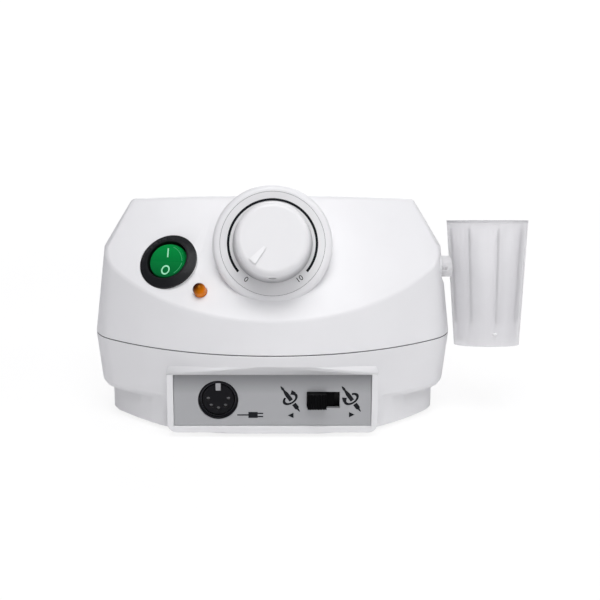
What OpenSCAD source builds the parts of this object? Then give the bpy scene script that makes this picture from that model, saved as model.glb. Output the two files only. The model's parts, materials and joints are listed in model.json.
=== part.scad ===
// Desk control unit for a dental micromotor: a moulded two-part housing with a speed dial,
// a power rocker, a motor socket, a direction slide and a swivelling handpiece cup.
// Millimetres, +Z up, front towards -Y. The origin lies on the bench under the middle of the housing.

/* [Housing] */
// Width of the housing at the parting line
housing_w = 142; // [138:1:156]
// Depth of the housing at the parting line
housing_d = 102; // [100:1:116]
// Plan radius of the bulged front
front_r = 102; // [98:1:125]
// Plan radius of the side corners
corner_r = 18; // [15:1:22]
// Plan radius of the rear corners
rear_r = 16; // [13:1:19]
// Angle at which the sides close in towards the rear
side_taper = 12; // [9:1:14]
// Wall thickness of both shells
wall = 2.5; // [2:0.1:3]
// Height of the parting line
parting_z = 33.8; // [33:0.2:37]
// Inward lean of the upper walls
upper_draft = 7; // [5:0.5:8]
// Inward lean of the lower walls towards the bottom
lower_draft = 6; // [4:0.5:8]
// Rounding of the upper shell's edges
edge_r = 2.8; // [1.6:0.1:3.4]
// Rounding under the lower wall
roll_r = 4; // [3:0.2:5]
// Chamfer on each side of the seam
seam = 0.4; // [0.2:0.1:0.6]

/* [Control face] */
// Height of the face's front edge
face_z = 46.9; // [46:0.5:50]
// Slope of the control face
face_slope = 47.5; // [45:0.5:49]
// Radius of the crown across the face
crown_r = 260; // [230:5:400]
// Height of the ridge
ridge_z = 88.5; // [87:0.5:91]
// Fall of the roof behind the ridge
roof_slope = 21.8; // [20:0.2:24]
// Height at which the shoulders start to lean in
shoulder_z = 68.5; // [66:0.5:71]
// Lean of the shoulders
shoulder_lean = 31.4; // [28:0.2:34]

/* [Base] */
// Height of the skirt's lower edge above the bench
skirt_z = 1.5; // [1:0.1:2]
// Height of the step between skirt and wall
step_z = 11.5; // [10.5:0.5:12.5]
// Setback of the skirt from the parting line at the sides and the rear
skirt_inset = 5.7; // [5:0.1:6.5]
// Setback of the skirt beside the front console
skirt_front = 1.8; // [1.6:0.1:3]
// Setback of the skirt at its rounded front corners
skirt_corner = 6.9; // [6.4:0.1:7.4]
// Thickness of the floor
floor_t = 2.5; // [2.2:0.1:3]
// Rise of the floor above the skirt's lower edge
floor_rise = 1.5; // [1:0.1:2]
// Diameter of a rubber foot
foot_d = 12; // [10:0.5:13]
// Depth of a foot's seat in the floor
foot_seat = 0.8; // [0.5:0.1:1.2]
// Width of a cooling slot in the floor
vent_w = 2.4; // [2:0.1:3]
// Length of a cooling slot
vent_l = 24; // [18:1:30]
// Number of cooling slots
vent_n = 6; // [3:1:8]
// Height at which the screw posts of the two shells meet
post_z = 20; // [18:0.5:24]
// Diameter of a screw post
post_d = 8; // [7.4:0.2:9]

/* [Front console] */
// Width of the front panel
panel_w = 76; // [72:1:78]
// Height of the front panel
panel_h = 20.8; // [20:0.2:21.6]
// Thickness of the front panel
panel_t = 2; // [1.5:0.1:2.5]
// Setback of the panel's face behind the front bulge
panel_set = 4.4; // [4:0.1:5]
// Width of the frame round the panel
frame_w = 2.5; // [2:0.1:3]
// Height of the frame in front of the panel
frame_proud = 1; // [0.6:0.1:1.4]
// Ledge behind the panel's edge
panel_ledge = 2; // [1.6:0.1:2.2]
// Height at which the middle of the band above the panel meets the wall
band_z = 29.4; // [28.6:0.2:30.4]
// Outer corner radius of the frame
frame_r = 3.5; // [2:0.1:4.5]
// Sideways place of the motor socket
socket_x = -20.9; // [-23:0.1:-18]
// Sideways place of the direction slide
slide_x = 19.5; // [17:0.1:22]

/* [Dial] */
// Elevation of the dial's axis
dial_elev = 20; // [17:0.5:24]
// Radius of the dial boss
boss_r = 23; // [22.5:0.1:24]
// Draft of the dial boss
boss_draft = 7; // [6:0.5:9]
// Rounding of the boss's front rim
boss_round = 2.4; // [1.5:0.1:2.8]
// Distance up the control face to the foot of the boss
boss_s = 7.8; // [6.5:0.1:9]
// Radius of the dial disc
disc_r = 20; // [19:0.1:20.2]
// Thickness of the dial disc
disc_t = 2; // [1.6:0.1:2.4]
// Thickness of the web that carries the potentiometer
web_t = 2.5; // [2:0.1:3]
// Diameter of the knob at its foot
knob_d = 30.4; // [28:0.2:32]
// Diameter of the knob at its front
knob_front_d = 28; // [26:0.2:29]
// Height of the knob
knob_h = 14; // [13:0.2:16]
// Rounding of the knob's front edge
knob_round = 2.4; // [1.5:0.1:3]
// Gap between knob and disc
knob_gap = 0.8; // [0.5:0.1:1.2]
// Direction of the pointer at the low stop, from +X
pointer_a = 229; // [225:1:235]
// Diameter of the potentiometer's body
pot_d = 24; // [20:0.5:26]
// Length of the potentiometer's body
pot_l = 10; // [9:0.5:12]
// Diameter of the potentiometer's bushing
bush_d = 7.4; // [7.2:0.1:8]
// Diameter of the potentiometer's shaft
shaft_d = 6; // [5.6:0.1:6.2]

/* [Power switch and lamp] */
// Sideways place of the power switch
switch_x = -40.2; // [-41:0.1:-38]
// Place of the power switch up the face
switch_s = 27.4; // [26:0.1:29]
// Turn of the power switch about its own axis
switch_turn = -10; // [-20:1:20]
// Lean of the power switch and the lamp away from the dial
control_lean = 7; // [0:0.5:8]
// Diameter of the switch's bezel
bezel_d = 23; // [22.4:0.1:24]
// Height of the bezel
bezel_h = 2.4; // [2:0.1:3]
// Diameter of the switch's barrel
barrel_d = 19.8; // [19.4:0.1:20.4]
// Length of the switch's barrel
barrel_l = 19; // [17:0.5:20]
// Radius of the rocker
rocker_r = 7.8; // [7.4:0.1:8]
// Height of the rocker's middle over its pivot
rocker_h = 3.2; // [2.8:0.1:3.6]
// Depth of the rocker's pivot below the face
pivot_depth = 1.6; // [1.2:0.1:2]
// Tilt of the rocker to each side
rocker_tilt = 9; // [7:0.5:11]
// Sideways place of the lamp
lamp_x = -27.5; // [-29:0.1:-27]
// Place of the lamp up the face
lamp_s = 13.7; // [13:0.1:15]
// Diameter of the lamp
lamp_d = 5; // [4.6:0.1:5.4]
// Height of the lamp above the face
lamp_h = 4.4; // [3.5:0.1:5]

/* [Motor socket and direction slide] */
// Diameter of the motor socket's face
socket_d = 15.5; // [15:0.1:16]
// Radius of the contact circle
contact_circle = 3.9; // [3.6:0.1:4.1]
// Diameter of a contact hole
contact_hole = 1.7; // [1.5:0.1:1.9]
// Depth of the socket behind the panel's face
socket_l = 14; // [12:0.5:16]
// Width of the slide's slot
slot_w = 12.7; // [12:0.1:13.5]
// Height of the slide's slot
slot_h = 6.6; // [6.2:0.1:7]
// Width of the slide's button
button_w = 7.3; // [6.8:0.1:7.8]
// Height of the button in front of the panel
button_proud = 3.2; // [2.6:0.1:3.8]

/* [Rear panel] */
// Width of the rear panel
rear_w = 77; // [74:1:79]
// Height of the rear panel
rear_h = 40; // [38:0.5:42]
// Height of the rear panel's middle
rear_cz = 35; // [34:0.2:36]
// Thickness of the rear panel
rear_t = 2; // [1.6:0.1:2.4]
// Setback of the rear panel behind the housing's rear
rear_set = 4; // [3.8:0.1:5]
// Overlap of the shells over the panel's edge
rear_lip = 2.4; // [2:0.1:2.8]
// Sideways place of the mains inlet
inlet_x = 19; // [17:0.2:20]
// Sideways place of the fuse holder
fuse_x = -8; // [-9:0.2:-7]
// Sideways place of the foot control jack
jack_x = -27; // [-28:0.2:-26]
// Bore of the foot control jack
jack_bore = 6.4; // [6.3:0.05:6.6]
// Length of the jack's bore
jack_l = 26; // [24:0.5:28]

/* [Handpiece cup] */
// Distance from the housing's wall to the cup's axis
cup_gap = 17.9; // [17.2:0.1:27]
// Radius of the cup's rim
rim_r = 16.1; // [15.5:0.1:16.5]
// Radius of the cup's bottom
cup_foot_r = 12.85; // [12:0.1:13.5]
// Height of the cup
cup_h = 49.5; // [46:0.5:54]
// Wall of the cup
cup_wall = 1.5; // [1.2:0.1:1.8]
// Distance of the peg below the rim
peg_drop = 18.2; // [17:0.2:20]
// Height of the peg's axis
peg_z = 60; // [58:0.5:62]
// Diameter of the split peg
peg_d = 8.4; // [8:0.1:8.8]
// Width of the slot in the peg
peg_slot = 1.4; // [1:0.1:1.8]
// Lean of the cup at rest
cup_lean = 12; // [8:1:16]
// Number of ribs inside the cup
rib_n = 8; // [6:1:10]
// Height of a rib
rib_h = 2.2; // [1.6:0.1:2.6]

/* [Inside] */
// Width of the transformer's core
core_w = 48; // [44:1:50]
// Height of the transformer's core
core_h = 40; // [38:1:42]
// Thickness of the transformer's stack
core_t = 20; // [18:1:21]
// Gap between the transformer's foot and the screw post
core_gap = 1.2; // [0.6:0.1:1.6]
// Place of the transformer from front to rear
core_y = -4; // [-5:0.5:-3]
// Width of the control board
board_w = 34; // [32:1:35]
// Depth of the control board
board_d = 40; // [38:1:41]
// Height of the control board's underside
board_z = 11; // [10:0.5:12]
// Diameter of the filter capacitor
cap_d = 16; // [14:0.5:17]
// Height of the filter capacitor
cap_h = 26; // [22:1:28]

/* [Fits] */
// Clearance of a seated part
fit = 0.15; // [0.1:0.01:0.2]
// Radial clearance of a turning pin
run_fit = 0.05; // [0.03:0.01:0.08]
// Clearance of a sliding part
slide_fit = 0.3; // [0.2:0.05:0.35]

/* [Hidden] */
$fn = 48;

// Plan outline: a bulged front, side corners, sides that close in and a flat rear
half_w = housing_w / 2;
front_y = -housing_d / 2;
rear_y = housing_d / 2;
front_c = [0, front_y + front_r];
front_a = asin((half_w - corner_r) / (front_r - corner_r));
corner_c = [half_w - corner_r, front_c.y - (front_r - corner_r) * cos(front_a)];
side_n = [cos(side_taper), sin(side_taper)];
side_reach = side_n * corner_c + corner_r;
rear_c = [(side_reach - rear_r - side_n.y * (rear_y - rear_r)) / side_n.x, rear_y - rear_r];
front_steps = 12;
corner_steps = 8;
round_steps = 4;

function mix(a, b, t) = a + (b - a) * t;
function unit(v) = v / norm(v);
function flat_dir(a) = [cos(a), sin(a)];
function mirrored(pts) = concat(pts, [for (p = pts) [-p.x, p.y, p.z]]);

// A station is a normal angle, an arc centre and an arc radius on the right half of the outline
stations = concat(
    [for (i = [0:front_steps]) [-90 + front_a * i / front_steps, front_c, front_r]],
    [for (i = [1:corner_steps]) [mix(-90 + front_a, side_taper, i / corner_steps), corner_c, corner_r]],
    [for (t = [0.25, 0.5, 0.75])
        [side_taper, mix(corner_c + (corner_r - rear_r) * side_n, rear_c, t), rear_r]],
    [for (i = [0:corner_steps]) [mix(side_taper, 90, i / corner_steps), rear_c, rear_r]]);

function station_pt(s, inset) = s[1] + (s[2] - inset) * flat_dir(s[0]);
function half_ring(inset, z) = [for (s = stations) let (p = station_pt(s, inset)) [p.x, p.y, z]];
function ring(inset, z) = mirrored(half_ring(inset, z));

// Crowned control face, falling roof and leaning shoulders, each moved inwards by d
face_y = front_y + (face_z - parting_z) * tan(upper_draft);
ridge_y = face_y + (ridge_z - face_z) / tan(face_slope);
shoulder_x = half_w - (shoulder_z - parting_z) * tan(upper_draft);
roof_n = [0, sin(roof_slope), cos(roof_slope)];
shoulder_n = [cos(shoulder_lean), 0, sin(shoulder_lean)];

function face_n(x) = unit([x / crown_r, -sin(face_slope), cos(face_slope)]);
function face_top(p, d) = let (drop = sqrt(pow(crown_r - d, 2) - p.x * p.x) - crown_r)
    face_z + drop * cos(face_slope) + (p.y - face_y + drop * sin(face_slope)) * tan(face_slope);
function roof_top(p, d) = ridge_z - (p.y - ridge_y) * tan(roof_slope) - d / cos(roof_slope);
function shoulder_top(p, d) = shoulder_z + (shoulder_x - abs(p.x)) / tan(shoulder_lean)
    - d / sin(shoulder_lean);
function top_z(p, d) = min(face_top(p, d), roof_top(p, d), shoulder_top(p, d));
function top_n(p, d) = let (f = face_top(p, d), r = roof_top(p, d))
    shoulder_top(p, d) < min(f, r) ? shoulder_n : f < r ? face_n(p.x) : roof_n;

// The upper wall's edge at a station, found by settling height and draft against each other
function upper_inset(d, z) = d / cos(upper_draft) + (z - parting_z) * tan(upper_draft);
function edge_z(s, d, z = face_z, k = 8) = k == 0 ? z :
    edge_z(s, d, top_z(station_pt(s, upper_inset(d, z)), d), k - 1);
function arc_pts(c, r, n1, n2) = r == 0 ? [c] :
    [for (k = [0:round_steps]) c + r * unit(mix(n1, n2, k / round_steps))];
function wall_n(a, lean) = [cos(a) * cos(lean), sin(a) * cos(lean), sin(lean)];
function edge_pts(d, r) = [for (s = stations)
    let (z = edge_z(s, d + r), p = station_pt(s, upper_inset(d + r, z)))
    each arc_pts([p.x, p.y, z], r, wall_n(s[0], upper_draft), top_n(p, d + r))];

// The ridge between face and roof, and its ends at the shoulders
ridge_steps = 5;
function ridge_pt(x, d) = let (f = face_top([x, 0], d), r = roof_top([x, 0], d),
    y = (r - f) / (tan(face_slope) + tan(roof_slope))) [x, y, r - y * tan(roof_slope)];
function ridge_end(d, x = half_w, k = 12) = k == 0 ? x : ridge_end(d,
    shoulder_x - (ridge_pt(x, d).z + d / sin(shoulder_lean) - shoulder_z) * tan(shoulder_lean), k - 1);
function ridge_pts(d, r) = let (e = ridge_end(d + r)) concat(
    [for (i = [0:ridge_steps]) let (x = e * i / ridge_steps)
        each arc_pts(ridge_pt(x, d + r), r, face_n(x), roof_n)],
    arc_pts(ridge_pt(e, d + r), r, face_n(e), shoulder_n),
    arc_pts(ridge_pt(e, d + r), r, roof_n, shoulder_n));

// Lower wall: it leans in downwards and rolls under to the step
function lower_inset(z) = (parting_z - z) * tan(lower_draft);
roll_z = step_z + roll_r;
roll_pts = [for (s = stations) let (p = station_pt(s, lower_inset(roll_z) + roll_r / cos(lower_draft)))
    each arc_pts([p.x, p.y, roll_z], roll_r, wall_n(s[0], -lower_draft), [0, 0, -1])];

module convex(pts) {
    hull()
        polyhedron(points = pts, faces = [[for (i = [0:len(pts) - 1]) i]]);
}
module upper_form() {
    convex(concat(ring(seam, parting_z), ring(0, parting_z + seam),
        mirrored(edge_pts(0, edge_r)), mirrored(ridge_pts(0, edge_r))));
}
module upper_room() {
    convex(concat(ring(wall, parting_z - seam), mirrored(edge_pts(wall, 0)), mirrored(ridge_pts(wall, 0))));
}
module lower_form() {
    convex(concat(ring(seam, parting_z), ring(0, parting_z - seam), mirrored(roll_pts)));
}
module lower_room() {
    low_z = step_z + wall;
    convex(concat(ring(wall, parting_z + seam), ring(lower_inset(low_z) + wall, low_z)));
}
// The skirt stands forward beside the console and is cut in round at its front corners
module skirt(d, z0, z1) {
    convex(mirrored([for (s = stations, z = [z0, z1])
        let (p = station_pt(s, d + lookup(s[0], skirt_turns))) [p.x, p.y, z]]));
}

// Places on the housing
floor_z = skirt_z + floor_rise;
floor_top = floor_z + floor_t;
post_shift = [2, 11];
post_step = 0.6;
rear_post_in = 1;
foot_in = [27, 29];
rear_foot_in = [15, 16];
screw_places = [for (sx = [-1, 1]) each [
    [sx * (corner_c.x + post_shift.x), corner_c.y + post_shift.y],
    [sx * (rear_c.x - rear_post_in), rear_c.y - rear_post_in]]];
foot_places = [for (sx = [-1, 1]) each [
    [sx * (half_w - foot_in.x), front_y + foot_in.y],
    [sx * (rear_c.x - rear_foot_in.x), rear_y - rear_foot_in.y]]];
dial_c = [0, face_y + boss_s * cos(face_slope) + boss_r * sin(dial_elev),
    face_z + boss_s * sin(face_slope) + boss_r * cos(dial_elev)];
panel_y = front_y + panel_set;
frame_gap = 0.5;
panel_z0 = skirt_z + frame_gap + frame_w;
panel_cz = panel_z0 + panel_h / 2;
rear_face_y = rear_y - rear_set;
peg_y = corner_c.y;
peg_wall_x = half_w - (peg_z - parting_z) * tan(upper_draft);
cup_x = peg_wall_x + cup_gap;

// Each of these sets +Z outwards and +Y up the surface
module at_dial() {
    translate(dial_c)
        rotate([90 - dial_elev, 0, 0])
            children();
}
module at_face(x, s) {
    translate([0, face_y, face_z])
        rotate([face_slope, 0, 0])
            translate([0, 0, -crown_r])
                rotate([0, asin(x / crown_r), 0])
                    translate([0, s, crown_r])
                        children();
}
module at_switch() {
    at_face(switch_x, switch_s)
        rotate([0, -control_lean, 0])
            rotate(switch_turn)
                children();
}
module at_lamp() {
    at_face(lamp_x, lamp_s)
        rotate([0, -control_lean, 0])
            children();
}
module at_panel(x) {
    translate([x, panel_y, panel_cz])
        rotate([90, 0, 0])
            children();
}
module at_rear(x) {
    translate([x, rear_face_y, rear_cz])
        rotate([90, 0, 180])
            children();
}
// The cup's frame: origin on the peg's axis below the rim, +Z along the cup
module at_cup() {
    translate([cup_x, peg_y, peg_z])
        rotate([-cup_lean, 0, 0])
            children();
}

// Solids that repeat; a cut runs past the face it opens
past = 1;
module rod(r, z0, z1) {
    translate([0, 0, z0])
        cylinder(r = r, h = z1 - z0);
}
module tube(r_out, r_in, z0, z1) {
    difference() {
        rod(r_out, z0, z1);
        rod(r_in, z0 - past, z1 + past);
    }
}
module block(w, d, z0, z1) {
    translate([-w / 2, -d / 2, z0])
        cube([w, d, z1 - z0]);
}
module hex_nut(across, bore_r, z0, z1) {
    difference() {
        translate([0, 0, z0])
            cylinder(d = across / cos(30), h = z1 - z0, $fn = 6);
        rod(bore_r, z0 - past, z1 + past);
    }
}
module screw(head_r, head_h, shank_r, shank_l) {
    rod(head_r, 0, head_h);
    rod(shank_r, -shank_l, head_h / 2);
}

// Sizes that follow from the ones above
disc_back = disc_t + web_t;
hollow_r = 16.5;
boss_l = 30;
knob_top = knob_gap + knob_h;
nut_room = 5;
insert_r = 4.5;
pot_back = disc_back + pot_l;
rocker_room = pivot_depth + rocker_r + slide_fit;
pin_r = 1;
pin_seat = 1.2;
bezel_rim = 0.4;
bezel_land = 0.5;
rocker_keel = 0.6;
tab = [4.8, 0.8, 8];
tab_pitch = 5.5;
pin_half = rocker_r + pin_seat;
panel_z1 = panel_z0 + panel_h;
console_half = panel_w / 2 + frame_w;
console_depth = 4;
console_back = skirt_inset + wall + console_depth;
skirt_bend = -20;
skirt_turns = [[asin(console_half / front_r) - 90, skirt_front], [front_a - 90, skirt_corner],
    [skirt_bend, skirt_corner], [side_taper, skirt_inset]];
bar_y = panel_y - frame_proud;
bar_top = panel_z1 + frame_proud;
band_in = 1;
band_front = front_y + lower_inset(band_z);
band_end = front_c.y - sqrt(pow(front_r - lower_inset(bar_top), 2) - pow(console_half, 2));
slide_travel = slot_w - button_w - 2 * slide_fit;
case_l = 8;
screw_r = 1.5;
screw_head_r = 3;
screw_head_h = 2.2;
screw_bite = 9;
small_r = 1.1;
small_head_r = 2.4;
small_head_h = 1.7;
small_play = 0.4;
board_bite = 4;
contact_tail = 4;
jack_pin = [2, 0.6, 4];
board_in = 85;
parts_y = 4;
board_front = panel_y + socket_l + contact_tail + board_d / 2;
board_rear = rear_face_y - jack_l - jack_pin.z - cap_d / 2 - parts_y;
board_x = corner_c.x - board_in;
board_y = (board_front + board_rear) / 2;
board_hole_in = 3;
board_post_r = 3;
board_t = 1.6;
board_top = board_z + board_t;
board_holes = [for (sx = [-1, 1], sy = [-1, 1])
    [sx * (board_w / 2 - board_hole_in), sy * (board_d / 2 - board_hole_in)]];
counterbore = 5;
screw_seat = floor_z + counterbore;
bracket_t = 1.2;
bracket_foot = 6;
leg = core_w / 6;
foot_reach = core_w / 2 + bracket_t + bracket_foot / 2 + small_r / 2;
core_x = corner_c.x + post_shift.x - post_d / 2 - post_step - core_gap - foot_reach - bracket_foot / 2;
bush_wall = 2.2;
bush_r = peg_d / 2 + run_fit + bush_wall;
bush_set = 0.9;
bush_flange_w = 0.6;
bush_flange_t = 1.6;
bush_flange_r = bush_r + bush_flange_w;
bush_flange_at = wall + pow(bush_flange_r, 2) / (corner_r - wall) + fit;
bush_l = bush_flange_at + bush_flange_t;
socket_face = 0.2;
core_face = -1;
slope_per_mm = (rim_r - cup_foot_r) / cup_h;
peg_root = rim_r - peg_drop * slope_per_mm;
barb_gap = 0.4;
peg_in = cup_gap + bush_l + barb_gap;
barb_l = 3;
barb_h = 0.7;
barb_lead = 0.5;
rear_back = 2;
rear_margin = 3;
vent_in = 29;

// Upper shell: crowned face, roof, shoulders and the hollow dial boss
module boss_form() {
    slant = boss_l * tan(boss_draft);
    rotate_extrude() {
        polygon([[0, 0], [boss_r - boss_round, 0], [boss_r, -boss_round],
            [boss_r - slant, -boss_l], [0, -boss_l]]);
        translate([boss_r - boss_round, -boss_round])
            circle(boss_round);
    }
}
module rear_frame() {
    d0 = rear_face_y - rear_t - rear_back;
    translate([-rear_w / 2 - rear_margin, d0, rear_cz - rear_h / 2 - rear_margin])
        cube([rear_w + 2 * rear_margin, rear_y - d0, rear_h + 2 * rear_margin]);
}
module rear_cuts() {
    at_rear(0) {
        block(rear_w - 2 * rear_lip, rear_h - 2 * rear_lip, -rear_t - rear_back - past, rear_set + past);
        block(rear_w + 2 * fit, rear_h + 2 * fit, -rear_t - fit, 0);
    }
}
module upper_shell() {
    color("whitesmoke")
        difference() {
            union() {
                difference() {
                    union() {
                        upper_form();
                        at_dial()
                            boss_form();
                    }
                    upper_room();
                    at_dial()
                        rod(hollow_r, -boss_l - past, -disc_back);
                }
                intersection() {
                    upper_form();
                    union() {
                        rear_frame();
                        for (p = screw_places)
                            translate(p)
                                rod(post_d / 2, post_z, ridge_z);
                    }
                }
                for (p = screw_places)
                    translate(p)
                        rod(post_d / 2, post_z, parting_z + past);
                at_switch()
                    rod(bezel_d / 2 - fit, -wall, 0);
            }
            rear_cuts();
            at_dial() {
                rod(disc_r + fit, -disc_t, past);
                rod(bush_d / 2 + fit, -disc_back - past, 0);
            }
            at_switch() {
                rod(barrel_d / 2 + fit, -2 * wall, wall);
                rod(bezel_d / 2 + fit, 0, bezel_h);
            }
            at_lamp()
                rod(lamp_d / 2 + fit, -2 * wall, wall);
            translate([peg_wall_x, peg_y, peg_z])
                rotate([0, 90, 0])
                    rod(bush_r + fit, -bush_l, wall);
            for (p = screw_places)
                translate(p)
                    rod(screw_r + run_fit, post_z - past, post_z + screw_bite + past);
        }
}

// Lower shell: leaning wall, skirt, floor and the front console
module console_shape() {
    w = 2 * console_half;
    h = panel_h + frame_w + frame_proud;
    translate([-w / 2 + frame_r, 0])
        square([w - 2 * frame_r, h]);
    translate([-w / 2, frame_r])
        square([w, h - frame_r]);
    for (sx = [-1, 1])
        translate([sx * (w / 2 - frame_r), frame_r])
            circle(frame_r);
}
module console_block() {
    translate([0, panel_y + console_back, panel_z0 - frame_w])
        rotate([90, 0, 0])
            linear_extrude(console_back + frame_proud)
                console_shape();
}
// The band between the panel's straight top edge and the bulged wall above it: its upper edge lies
// in a plane that falls from the middle of the wall to the ends of the frame
function band_top(y) = mix(band_z, bar_top, (y - band_front) / (band_end - band_front));
function band_pt(s, z = band_z, k = 4) = let (p = station_pt(s, lower_inset(z)))
    k == 0 ? [p.x, p.y, z] : band_pt(s, band_top(p.y), k - 1);
module console_band() {
    edge = concat([[console_half, band_end, bar_top]],
        [for (s = stations) let (p = band_pt(s)) if (p.x < console_half && p.y < band_end) p]);
    convex(mirrored(concat(edge,
        [for (p = edge) p + [0, wall, band_in]],
        [for (y = [bar_y, panel_y + wall]) [console_half, y, panel_z1]],
        [[console_half, bar_y, bar_top]])));
}
// The wall in front of the frame is taken away below the band
module console_cut() {
    low_z = skirt_z - past;
    far_y = front_y - past;
    rotate([90, 0, 90])
        linear_extrude(2 * console_half, center = true)
            polygon([[far_y, low_z], [bar_y, low_z], [bar_y, band_top(bar_y)], [far_y, band_top(far_y)]]);
}
module lower_shell() {
    color("whitesmoke")
        difference() {
            union() {
                difference() {
                    union() {
                        lower_form();
                        skirt(0, skirt_z, roll_z);
                    }
                    lower_room();
                    skirt(wall, floor_top, roll_z + wall);
                    skirt(wall, skirt_z - past, floor_z);
                    console_cut();
                }
                console_block();
                console_band();
                intersection() {
                    lower_form();
                    rear_frame();
                }
                for (p = screw_places)
                    translate(p)
                        rod(post_d / 2 + post_step, floor_z, post_z);
                for (p = board_holes)
                    translate([board_x + p.x, board_y + p.y])
                        rod(board_post_r, floor_z + floor_t / 2, board_z);
            }
            rear_cuts();
            at_panel(0) {
                block(panel_w + 2 * fit, panel_h + 2 * fit, -panel_t, panel_set);
                block(panel_w - 2 * panel_ledge, panel_h - 2 * panel_ledge, -console_back - past, 0);
            }
            for (p = screw_places)
                translate(p) {
                    rod(screw_head_r + slide_fit, skirt_z, screw_seat);
                    rod(screw_r + fit, screw_seat - past, post_z + past);
                }
            for (p = foot_places)
                translate(p)
                    rod(foot_d / 2 + fit, 0, floor_z + foot_seat);
            for (p = board_holes)
                translate([board_x + p.x, board_y + p.y])
                    rod(small_r + run_fit, floor_top, board_z + past);
            for (sx = [-1, 1])
                translate([core_x + sx * foot_reach, core_y])
                    rod(small_r + run_fit, floor_z - past, floor_top + past);
            for (i = [0:vent_n - 1])
                translate([(i - (vent_n - 1) / 2) * 2 * vent_w, rear_y - vent_in])
                    block(vent_w, vent_l, floor_z - past, floor_top + past);
        }
}
module front_panel() {
    color("silver")
        difference() {
            at_panel(0)
                block(panel_w, panel_h, -panel_t, 0);
            at_panel(socket_x)
                rod(socket_d / 2, -panel_t - past, past);
            at_panel(slide_x)
                block(slot_w, slot_h, -panel_t - past, past);
        }
}
module rear_panel() {
    color("dimgray")
        difference() {
            at_rear(0)
                block(rear_w, rear_h, -rear_t, 0);
            at_rear(inlet_x)
                block(inlet_w + 2 * fit, inlet_h + 2 * fit, -rear_t - past, past);
            at_rear(fuse_x)
                rod(fuse_r + fit, -rear_t - past, past);
            at_rear(jack_x)
                rod(jack_r + fit, -rear_t - past, past);
        }
}

// Fasteners and feet
module housing_screws() {
    color("silver")
        for (p = screw_places)
            translate([p.x, p.y, screw_seat])
                mirror([0, 0, 1])
                    screw(screw_head_r, screw_head_h, screw_r, post_z - screw_seat + screw_bite);
}
module rubber_feet() {
    color("dimgray")
        for (p = foot_places)
            translate(p)
                rod(foot_d / 2, 0, floor_z + foot_seat);
}
module transformer_screws() {
    color("silver")
        for (sx = [-1, 1])
            translate([core_x + sx * foot_reach, core_y, floor_top + bracket_t])
                screw(small_head_r, small_head_h, small_r, floor_t + bracket_t - fit);
}
module board_screws() {
    color("silver")
        for (p = board_holes)
            translate([board_x + p.x, board_y + p.y, board_top])
                screw(small_head_r, small_head_h, small_r, board_t + board_bite);
}

// Dial: printed disc, knob with a brass insert, potentiometer
module dial_disc() {
    color("white")
        at_dial()
            tube(disc_r, bush_d / 2 + fit, -disc_t, 0);
}
module speed_knob() {
    front_r1 = knob_front_d / 2;
    color("white")
        at_dial() {
            difference() {
                rotate_extrude() {
                    polygon([[0, knob_gap], [knob_d / 2, knob_gap], [front_r1, knob_top - knob_round],
                        [front_r1 - knob_round, knob_top], [0, knob_top]]);
                    translate([front_r1 - knob_round, knob_top - knob_round])
                        circle(knob_round);
                }
                rod(knob_d / 2 - knob_wall, knob_gap - past, knob_gap + nut_room);
                rod(insert_r + run_fit, knob_gap, knob_top - knob_cap);
                rotate([90, 0, 0])
                    translate([0, set_screw_z, 0])
                        rod(set_screw_r + run_fit, 0, knob_d);
            }
            rotate(pointer_a)
                translate([0, 0, knob_top - pointer_h / 2])
                    linear_extrude(1.5 * pointer_h)
                        polygon([[pointer_r0, -pointer_w / 3], [pointer_r1, -pointer_w],
                            [pointer_r1, pointer_w], [pointer_r0, pointer_w / 3]]);
        }
}
knob_wall = 3.5;
knob_cap = 2;
pointer_h = 0.8;
pointer_w = 1.6;
pointer_r0 = 4;
pointer_r1 = knob_front_d / 2 - knob_round - slide_fit;
set_screw_r = 1.5;
set_screw_l = 7;
set_screw_z = knob_gap + nut_room + 2 * set_screw_r;
module knob_insert() {
    color("goldenrod")
        at_dial()
            difference() {
                tube(insert_r, shaft_d / 2 + run_fit, knob_gap + nut_room, knob_top - knob_cap);
                rotate([90, 0, 0])
                    translate([0, set_screw_z, 0])
                        rod(set_screw_r + run_fit, 0, knob_d);
            }
}
module knob_set_screw() {
    color("dimgray")
        at_dial()
            rotate([90, 0, 0])
                translate([0, set_screw_z, 0])
                    rod(set_screw_r, shaft_d / 2 + run_fit, shaft_d / 2 + set_screw_l);
}
module pot_body() {
    color("silver")
        at_dial()
            difference() {
                rod(pot_d / 2, -pot_back, -disc_back);
                rod(shaft_d / 2 + slide_fit, -pot_back + pot_floor, 0);
            }
}
module pot_bushing() {
    color("gold")
        at_dial()
            tube(bush_d / 2, shaft_d / 2 + run_fit, -disc_back, nut_h + thread_end);
}
nut_h = 2.4;
thread_end = 1.6;
nut_flat = 1.8;
pot_floor = 1;
pot_pin = [2, 0.8, 6];
pot_pitch = 5;
module pot_shaft() {
    color("silver")
        at_dial()
            rod(shaft_d / 2, -pot_back + pot_floor + slide_fit, knob_top - knob_cap - slide_fit);
}
module pot_nut() {
    color("silver")
        at_dial()
            hex_nut(bush_d + 2 * nut_flat, bush_d / 2 + run_fit, 0, nut_h);
}
module pot_terminals() {
    color("gold")
        at_dial()
            for (i = [-1:1])
                translate([i * pot_pitch, -pot_d / 4, 0])
                    block(pot_pin.x, pot_pin.y, -pot_back - pot_pin.z, -pot_back);
}

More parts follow.
